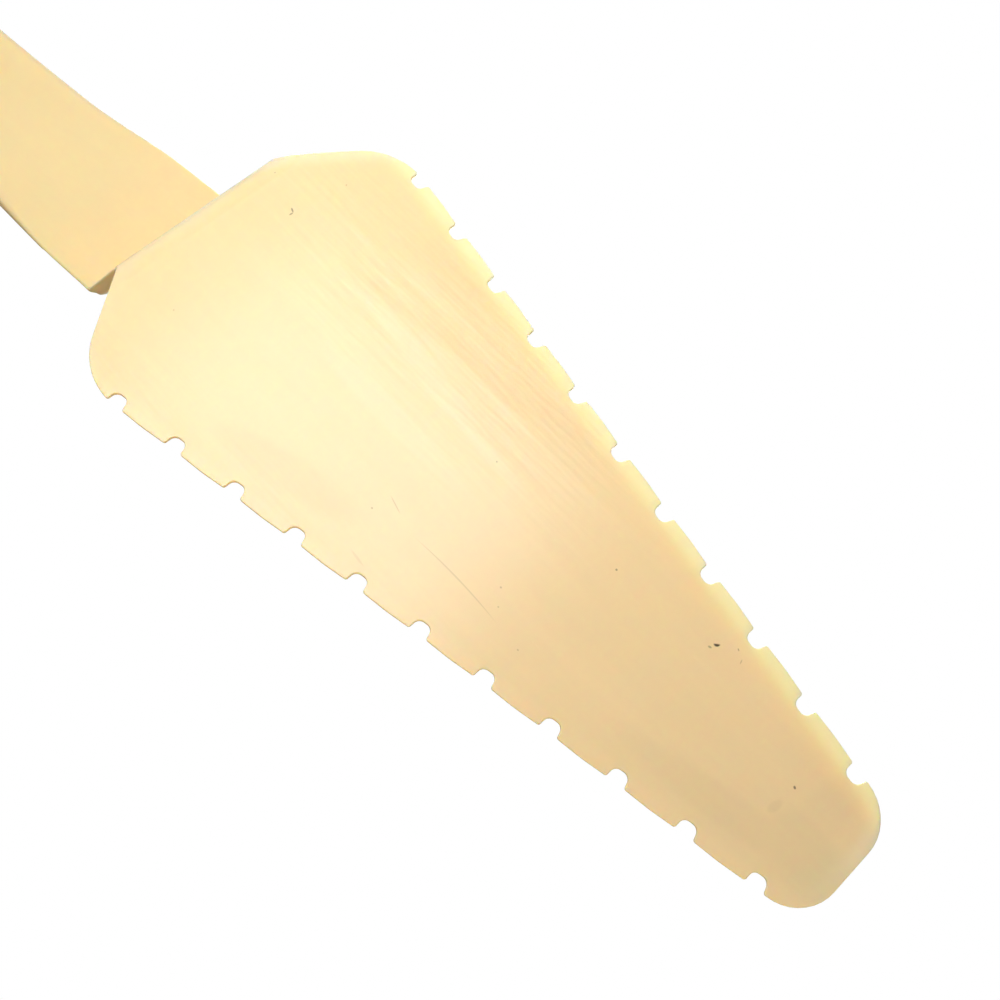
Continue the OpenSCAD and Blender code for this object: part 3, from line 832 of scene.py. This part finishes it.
def lip_points(piece, lip, middle):
    """Rounded lip at the seam, turning from the side into the flat seam face."""
    edge = piece.half - piece.seam * tan(piece.lean)
    points = []
    for a in spaced(0, pi / 2, LIP_STEPS):
        points.append((edge - lip * (1 - cos(a)), middle + lip * sin(a)))
    return points


def dome_points(piece, seam, steps):
    """Domed upper face of a slice on the left, from the seam to the middle."""
    edge = piece.half - piece.seam * tan(piece.lean)
    points = []
    for a in spaced(0, pi / 2, steps):
        across = max(0, cos(a)) ** (2 / DOME_POWER)
        points.append((edge * across, seam + (piece.thick - seam) * sin(a) ** (2 / DOME_POWER)))
    return points


def ring(piece, points):
    """A closed ring in the frame from its left half, flattened towards the seam by the nose."""
    both = points + [(-y, n) for y, n in reversed(points[1:-1])]
    made = []
    for y, n in both:
        depth = piece.seam + (n - piece.seam) * piece.nose
        x = piece.x + depth * cos(piece.tilt)
        z = piece.z + depth * sin(piece.tilt)
        made.append(Vector((x, y, z)) * MM)
    return made


def lip_size(piece):
    """The lip's radius, less where the grip runs out."""
    return max(LEAST_LIP, min(LIP, LIP_SHARE * piece.half, LIP_SHARE * piece.seam * piece.nose))


print("Points on one side of the neck:", len(lower_points(neck_slice(0), LIP)))

# %% Skin over the rings
SKIN_WELD_DIST = 0.0005 * MM


def skin(name, rings, material):
    """A closed mesh over rings with as many points each, its two ends filled."""
    count = len(rings[0])
    points = [p for one in rings for p in one]
    faces = []
    for i in range(len(rings) - 1):
        for j in range(count):
            k = (j + 1) % count
            faces.append((i * count + j, i * count + k, (i + 1) * count + k, (i + 1) * count + j))
    faces.append(tuple(reversed(range(count))))
    faces.append(tuple(range(len(points) - count, len(points))))
    mesh = bpy.data.meshes.new(name)
    mesh.from_pydata(points, [], faces)
    mesh.materials.append(material)
    shape = bmesh.new()
    shape.from_mesh(mesh)
    bmesh.ops.remove_doubles(shape, verts=shape.verts, dist=SKIN_WELD_DIST)
    write_shape(shape, mesh)
    for polygon in mesh.polygons:
        polygon.use_smooth = True
    return mesh


# %% Slices along the grip
NECK_LAP = 20.0
SEAM_GAP = 0.12
GRIP_STEPS = 40
TAIL_STEPS = 26
LAST_TURN = radians(88.5)


def grip_distances(start):
    """Distances along the grip, closing up round its end."""
    even = spaced(start, GRIP_L - TAIL_CURVE_L, GRIP_STEPS)
    turns = spaced(0, LAST_TURN, TAIL_STEPS)[1:]
    return even + [GRIP_L - TAIL_CURVE_L * (1 - sin(turn)) for turn in turns]


print("Slices along the grip:", len(grip_distances(NECK_LAP)))

# %% [markdown]
# ## The handle's finish
# The handle is the same cream plastic, painted a slightly deeper tone as a painted shade for the shade
# it lies in. Its streaks are weaker and its gloss is softer than the blade's, so the same material
# function serves with other values.

# %% Handle finish
# Painted shade: the blade's plastic, set deeper and more saturated in tone because the handle lies more in
# shade.
HANDLE_CREAM_SHADED = (0.88, 0.69, 0.342, 1)
handle_cream = plastic_material("handle_cream", HANDLE_CREAM_SHADED, streaks=0.04, drift=0.04, roughness=0.30)[0]
print("Material:", handle_cream.name)

# %% [markdown]
# ## The handle's lower shell
# The neck and the bend are solid, and behind them the shell ends at the seam, where the cover lies on
# it. The hollow under the cover doesn't show, so here a flat face closes the shell at the seam. The
# foot is a plate with rounded corners, united with the neck by a Boolean, and the neck's root flares
# into it.

# %% Foot, neck and lower half of the grip
NECK_STEPS = 24
BEND_STEPS = 8
LAP_STEPS = 14
FOOT_L = 21.5
FOOT_W = 28.4
FOOT_T = 4.0
FOOT_R = 6.0
FOOT_EDGE_R = 0.6


def shell_ring(piece, domed):
    """Ring of the lower shell: closed by the dome on the neck, or flat at the seam under the cover."""
    if domed:
        points = lower_points(piece, 0)[:-1]
        return ring(piece, points + dome_points(piece, piece.seam, LIP_STEPS + TOP_STEPS))
    lip = lip_size(piece)
    points = lower_points(piece, lip)[:-1] + lip_points(piece, lip, piece.seam - lip)
    inward = spaced(points[-1][0], 0, TOP_STEPS)[1:]
    return ring(piece, points + [(y, piece.seam) for y in inward])


def foot_mesh():
    """Plate on the blade with two rounded front corners and soft upper edges."""
    back, front = HEEL + NECK_T / 2, HEEL + FOOT_L
    half = FOOT_W / 2
    corner = [(back, -half)]
    for middle, first in ((-half + FOOT_R, -pi / 2), (half - FOOT_R, 0)):
        for a in spaced(first, first + pi / 2, ARC_STEPS):
            corner.append((front - FOOT_R + FOOT_R * cos(a), middle + FOOT_R * sin(a)))
    corner.append((back, half))
    low = [(x * MM, y * MM, BLADE_T * MM) for x, y in corner]
    high = [(x * MM, y * MM, (BLADE_T + FOOT_T) * MM) for x, y in corner]
    count = len(corner)
    faces = [tuple(reversed(range(count))), tuple(range(count, 2 * count))]
    faces += [(i, (i + 1) % count, (i + 1) % count + count, i + count) for i in range(count)]
    mesh = bpy.data.meshes.new("foot")
    mesh.from_pydata(low + high, [], faces)
    mesh.materials.append(handle_cream)
    return mesh


solid = [neck_slice(t) for t in spaced(0, 1, NECK_STEPS)]
solid += [bend_slice(t) for t in spaced(0, 1, BEND_STEPS)[1:]]
solid += [grip_slice(s) for s in spaced(0, NECK_LAP, LAP_STEPS)[1:]]
rings = [shell_ring(piece, True) for piece in solid]
rings += [shell_ring(grip_slice(s), False) for s in grip_distances(NECK_LAP)]
shell = as_object("handle_lower_shell", skin("handle_lower_shell", rings, handle_cream))
foot = as_object("foot", foot_mesh())
soften(foot, FOOT_EDGE_R, segments=3, angle=40)
combine(shell, foot, "UNION")
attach(shell, "root")
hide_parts("handle_shell")
print("Shell faces:", len(shell.data.polygons))

# %% [markdown]
# ## The grip's cover
# The cover closes the hollow grip from above. It has the dome's rings, with a rounded lip along the
# seam and a narrow gap to the shell below, which is the line that shows where the halves meet.

# %% Cover
COVER_FLOOR_STEPS = 6
COVER_FLOOR_SHARE = 0.9
COVER_NOSE_STEPS = 4
FRONT_R = 0.5


def cover_ring(piece, inset):
    """Ring of the cover, drawn in by an inset at its front edge."""
    lip = lip_size(piece)
    low = piece.seam + SEAM_GAP
    seam = low + lip
    edge = piece.half - piece.seam * tan(piece.lean)
    points = [(y, low) for y in spaced(0, COVER_FLOOR_SHARE * edge, COVER_FLOOR_STEPS)[:-1]]
    for a in spaced(-pi / 2, 0, LIP_STEPS)[:-1]:
        points.append((edge - lip * (1 - cos(a)), seam + lip * sin(a)))
    points += dome_points(piece, seam, TOP_STEPS)
    drawn = [(y * (1 - inset / max(piece.half, inset)), max(low, n - inset)) for y, n in points]
    return ring(piece, drawn)


start = NECK_LAP + SEAM_GAP
rings = []
for a in spaced(0, pi / 2, COVER_NOSE_STEPS)[:-1]:
    rings.append(cover_ring(grip_slice(start + FRONT_R * (1 - cos(a))), FRONT_R * (1 - sin(a))))
rings += [cover_ring(grip_slice(s), 0) for s in grip_distances(start + FRONT_R)]
cover = as_object("grip_upper_cover", skin("grip_upper_cover", rings, handle_cream))
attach(cover, "root")
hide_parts("grip_cover")
print("Cover faces:", len(cover.data.polygons))

# %% [markdown]
# ## The foot's screws
# Two domed screws hold the foot on the blade. One screw is a turned profile, made with bmesh's spin,
# and its cross recess is cut with a Boolean. A small Geometry Nodes tree sets copies on a line across
# the foot and turns each one differently, as screws end up when they are driven home.

# %% Steel
STEEL = (0.62, 0.62, 0.63, 1)
STEEL_GRAIN_SCALE = 2400.0
STEEL_GLOSSIEST = 0.22
STEEL_ROUGHEST = 0.38
STEEL_RELIEF = 0.02 * MM
STEEL_RELIEF_STRENGTH = 0.15


def steel_material():
    """Plain steel with a fine grain in its gloss and relief."""
    material = new_material("screw_steel")
    tree = material.node_tree
    place = put(tree, "ShaderNodeTexCoord").outputs["Object"]
    sockets = {"Vector": place, "Scale": STEEL_GRAIN_SCALE, "Detail": 3.0}
    grain = put(tree, "ShaderNodeTexNoise", sockets).outputs[0]
    sockets = {"Value": grain, "To Min": STEEL_GLOSSIEST, "To Max": STEEL_ROUGHEST}
    rough = put(tree, "ShaderNodeMapRange", sockets).outputs[0]
    sockets = {"Height": grain, "Strength": STEEL_RELIEF_STRENGTH, "Distance": STEEL_RELIEF}
    relief = put(tree, "ShaderNodeBump", sockets)
    shader = put(tree, "ShaderNodeBsdfPrincipled", {
        "Base Color": STEEL, "Metallic": 1.0, "Roughness": rough, "Normal": relief.outputs["Normal"]})
    put(tree, "ShaderNodeOutputMaterial", {"Surface": shader.outputs[0]})
    return material


screw_steel = steel_material()
print("Material:", screw_steel.name)

# %% One screw
HEAD_D = 7.0
HEAD_H = 2.0
HEAD_RIM = 0.7
HEAD_CHAMFER = 0.15
HEAD_SHOULDER = 0.1
DOME_STEPS = 12
SCREW_D = 3.0
SCREW_L = 5.6
SCREW_POINT_L = 1.2
SCREW_EDGE_R = 0.06
RECESS_W = 0.9
RECESS_L = 4.2
RECESS_DEPTH = 1.1
TURN_STEPS = 48


def screw_profile():
    """Half section of a screw, from the tip up to the middle of the head."""
    rise = HEAD_H - HEAD_RIM
    dome_r = ((HEAD_D / 2) ** 2 + rise ** 2) / (2 * rise)
    points = [(0, -SCREW_L), (SCREW_D / 4, -SCREW_L), (SCREW_D / 2, -SCREW_L + SCREW_POINT_L)]
    points += [(SCREW_D / 2, 0), (HEAD_D / 2 - HEAD_CHAMFER, 0), (HEAD_D / 2, HEAD_CHAMFER)]
    points += [(HEAD_D / 2, HEAD_RIM - HEAD_SHOULDER)]
    steep = asin(HEAD_D / 2 / dome_r)
    for a in spaced(steep, 0, DOME_STEPS)[1:]:
        points.append((dome_r * sin(a), HEAD_H - dome_r * (1 - cos(a))))
    return points


def turned_mesh(name, profile, material):
    """A closed solid of revolution about the Z axis."""
    shape = bmesh.new()
    line = [shape.verts.new((r * MM, 0, z * MM)) for r, z in profile]
    edges = [shape.edges.new(pair) for pair in zip(line, line[1:])]
    bmesh.ops.spin(shape, geom=line + edges, axis=(0, 0, 1), cent=(0, 0, 0), angle=2 * pi,
                   steps=TURN_STEPS)
    bmesh.ops.remove_doubles(shape, verts=shape.verts, dist=WELD_DIST)
    mesh = bpy.data.meshes.new(name)
    write_shape(shape, mesh)
    mesh.materials.append(material)
    return mesh


def cross_mesh():
    """Two crossed bars for the recess."""
    shape = bmesh.new()
    half_l, half_w = RECESS_L / 2 * MM, RECESS_W / 2 * MM
    quarter = [(half_l, -half_w), (half_l, half_w), (half_w, half_w)]
    outline = []
    for c, s in ((1, 0), (0, 1), (-1, 0), (0, -1)):
        outline += [(x * c - y * s, x * s + y * c) for x, y in quarter]
    low = (HEAD_H - RECESS_DEPTH) * MM
    floor = shape.faces.new([shape.verts.new((x, y, low)) for x, y in outline])
    raised = bmesh.ops.extrude_face_region(shape, geom=[floor])
    for item in raised["geom"]:
        if isinstance(item, bmesh.types.BMVert):
            item.co.z += 2 * RECESS_DEPTH * MM
    mesh = bpy.data.meshes.new("cross")
    write_shape(shape, mesh)
    return mesh


screws = as_object("foot_screw_pair", turned_mesh("foot_screw_pair", screw_profile(), screw_steel))
combine(screws, as_object("cross", cross_mesh()), "DIFFERENCE")
soften(screws, SCREW_EDGE_R, segments=2, angle=35)
print("Faces of one screw:", len(screws.data.polygons))

# %% Row of screws
SCREW_COUNT = 2
SCREW_SPAN = 16.0
SCREW_FROM_HEEL = 14.6
SCREW_TURN = radians(26)


def screw_row_tree():
    """Copies of one screw on a line, each turned on by the same angle."""
    tree = bpy.data.node_groups.new("screw_row", "GeometryNodeTree")
    declare(tree, "INPUT", [("Geometry", "Geometry"), ("Count", "Int"), ("First", "Vector"),
                            ("Step", "Vector"), ("Turn", "Float"), ("Material", "Material")])
    declare(tree, "OUTPUT", [("Geometry", "Geometry")])
    given = put(tree, "NodeGroupInput").outputs
    places = put(tree, "GeometryNodeMeshLine", {"Count": given["Count"], "Start Location": given["First"],
                                                "Offset": given["Step"]})
    number = calc(tree, "ADD", put(tree, "GeometryNodeInputIndex").outputs[0], 1.0)
    turn = put(tree, "ShaderNodeCombineXYZ", {"Z": calc(tree, "MULTIPLY", number, given["Turn"])})
    copies = put(tree, "GeometryNodeInstanceOnPoints",
                 {"Points": places.outputs[0], "Instance": given["Geometry"], "Rotation": turn.outputs[0]})
    end_tree(tree, copies.outputs[0], given["Material"])
    return tree


first_screw = Vector((HEEL + SCREW_FROM_HEEL, -SCREW_SPAN / 2, BLADE_T + FOOT_T)) * MM
run_tree(screws, screw_row_tree(), {
    "Count": SCREW_COUNT, "First": tuple(first_screw), "Step": (0, SCREW_SPAN * MM, 0),
    "Turn": SCREW_TURN, "Material": screw_steel})
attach(screws, "root")
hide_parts("foot_screws")
print("Screw faces:", len(screws.data.polygons))

# %% [markdown]
# ## Studio
# The object is shown on white, so the camera sees a white world. As a source of light the world is
# much dimmer, and the plastic keeps its colour. In reflections it is white below and at the horizon,
# dark overhead, and pale on the side of a backdrop. Two lamps below the grip light the underside, and
# their light falls off towards the tip. A warm lamp stands to the left of the tip, and a large one
# lights the upper side for the other views. The second lamp below and the warm one don't show in
# reflections. The pale floor under the blade takes the shadow from above, and it can't be seen from
# below, where this camera stands.

# %% World
WHITE = (1, 1, 1, 1)
AMBIENT = 0.20
CEILING = 0.07
CEILING_START = 0.6
BACKDROP = 0.8
BACKDROP_SIDE = (-0.8, -0.6, 0)
BACKDROP_START = 0.36
BACKDROP_FULL = 0.56

world = bpy.data.worlds.new("studio")
world.use_nodes = True
tree = world.node_tree
tree.nodes.clear()
path = put(tree, "ShaderNodeLightPath").outputs
direction = put(tree, "ShaderNodeTexCoord").outputs["Generated"]
up = put(tree, "ShaderNodeSeparateXYZ", {0: direction}).outputs["Z"]
room = smooth_range(tree, up, 0.0, CEILING_START, 1.0, CEILING)
facing = put(tree, "ShaderNodeVectorMath", {0: direction, 1: BACKDROP_SIDE}, operation="DOT_PRODUCT")
backdrop = smooth_range(tree, facing.outputs["Value"], BACKDROP_START, BACKDROP_FULL, 0.0, BACKDROP)
shown = calc(tree, "MAXIMUM", room, backdrop)
mirrored = calc(tree, "MAXIMUM", path["Is Glossy Ray"], path["Is Transmission Ray"])
level = put(tree, "ShaderNodeMapRange", {"Value": mirrored, "To Min": AMBIENT, "To Max": shown})
strength = calc(tree, "MAXIMUM", level.outputs[0], path["Is Camera Ray"])
sky = put(tree, "ShaderNodeBackground", {"Color": WHITE, "Strength": strength})
put(tree, "ShaderNodeOutputWorld", {"Surface": sky.outputs[0]})
bpy.context.scene.world = world
bpy.context.scene.view_settings.view_transform = "Standard"
print("World light:", AMBIENT)

# %% Lamps
Lamp = namedtuple("Lamp", "name place target size power tint mirrored")

PLAIN = (1, 1, 1)
WARM = (1, 0.85, 0.6)
LAMPS = [
    Lamp("window_lamp", (-0.075, -0.055, -0.28), (-0.075, -0.055, 0), (0.165, 0.13), 0.40, PLAIN, True),
    Lamp("fill_lamp", (-0.11, -0.04, -0.25), (-0.11, -0.01, 0), (0.25, 0.25), 0.585, PLAIN, False),
    Lamp("side_lamp", (0.35, 0.35, 0), (-0.02, 0, 0.01), (0.3, 0.3), 1.05, WARM, False),
    Lamp("top_lamp", (-0.35, -0.55, 0.9), (0, 0, 0), (0.75, 0.75), 14.2, PLAIN, True),
]


def area_lamp(lamp):
    """A soft lamp that looks at its target and that the camera doesn't see."""
    data = bpy.data.lights.new(lamp.name, "AREA")
    data.shape = "RECTANGLE"
    data.size, data.size_y = lamp.size
    data.energy = lamp.power
    data.color = lamp.tint
    made = bpy.data.objects.new(lamp.name, data)
    made.location = lamp.place
    aim = Vector(lamp.target) - Vector(lamp.place)
    made.rotation_euler = aim.to_track_quat("-Z", "Y").to_euler()
    made.visible_camera = False
    made.visible_glossy = lamp.mirrored
    bpy.context.scene.collection.objects.link(made)


for lamp in LAMPS:
    area_lamp(lamp)
print("Lamps:", [lamp.name for lamp in LAMPS])

# %% Floor
FLOOR_HALF = 3.0
FLOOR_DROP = 0.05 * MM
FADE_START = 0.25
FADE_STOP = 1.1
FLOOR_PALE = (0.92, 0.92, 0.92, 1)


def floor_material():
    """Pale floor that fades into the white background and vanishes from below."""
    material = new_material("floor_pale")
    tree = material.node_tree
    place = put(tree, "ShaderNodeTexCoord").outputs["Object"]
    radius = put(tree, "ShaderNodeVectorMath", {0: place}, operation="LENGTH").outputs["Value"]
    fade = smooth_range(tree, radius, FADE_START, FADE_STOP)
    matt = put(tree, "ShaderNodeBsdfDiffuse", {"Color": FLOOR_PALE}).outputs[0]
    glow = put(tree, "ShaderNodeEmission", {"Color": WHITE, "Strength": 1.0}).outputs[0]
    front = put(tree, "ShaderNodeMixShader", {0: fade, 1: matt, 2: glow}).outputs[0]
    clear = put(tree, "ShaderNodeBsdfTransparent").outputs[0]
    below = put(tree, "ShaderNodeNewGeometry").outputs["Backfacing"]
    both = put(tree, "ShaderNodeMixShader", {0: below, 1: front, 2: clear}).outputs[0]
    put(tree, "ShaderNodeOutputMaterial", {"Surface": both})
    return material


floor_mesh = bpy.data.meshes.new("floor")
corners = [(x * FLOOR_HALF, y * FLOOR_HALF, -FLOOR_DROP) for x, y in ((-1, -1), (1, -1), (1, 1), (-1, 1))]
floor_mesh.from_pydata(corners, [], [(0, 1, 2, 3)])
floor_mesh.materials.append(floor_material())
floor = as_object("floor", floor_mesh)
floor.visible_diffuse = False
floor.visible_glossy = False
floor.visible_transmission = False
floor.visible_shadow = False
print("Floor half width in m:", FLOOR_HALF)
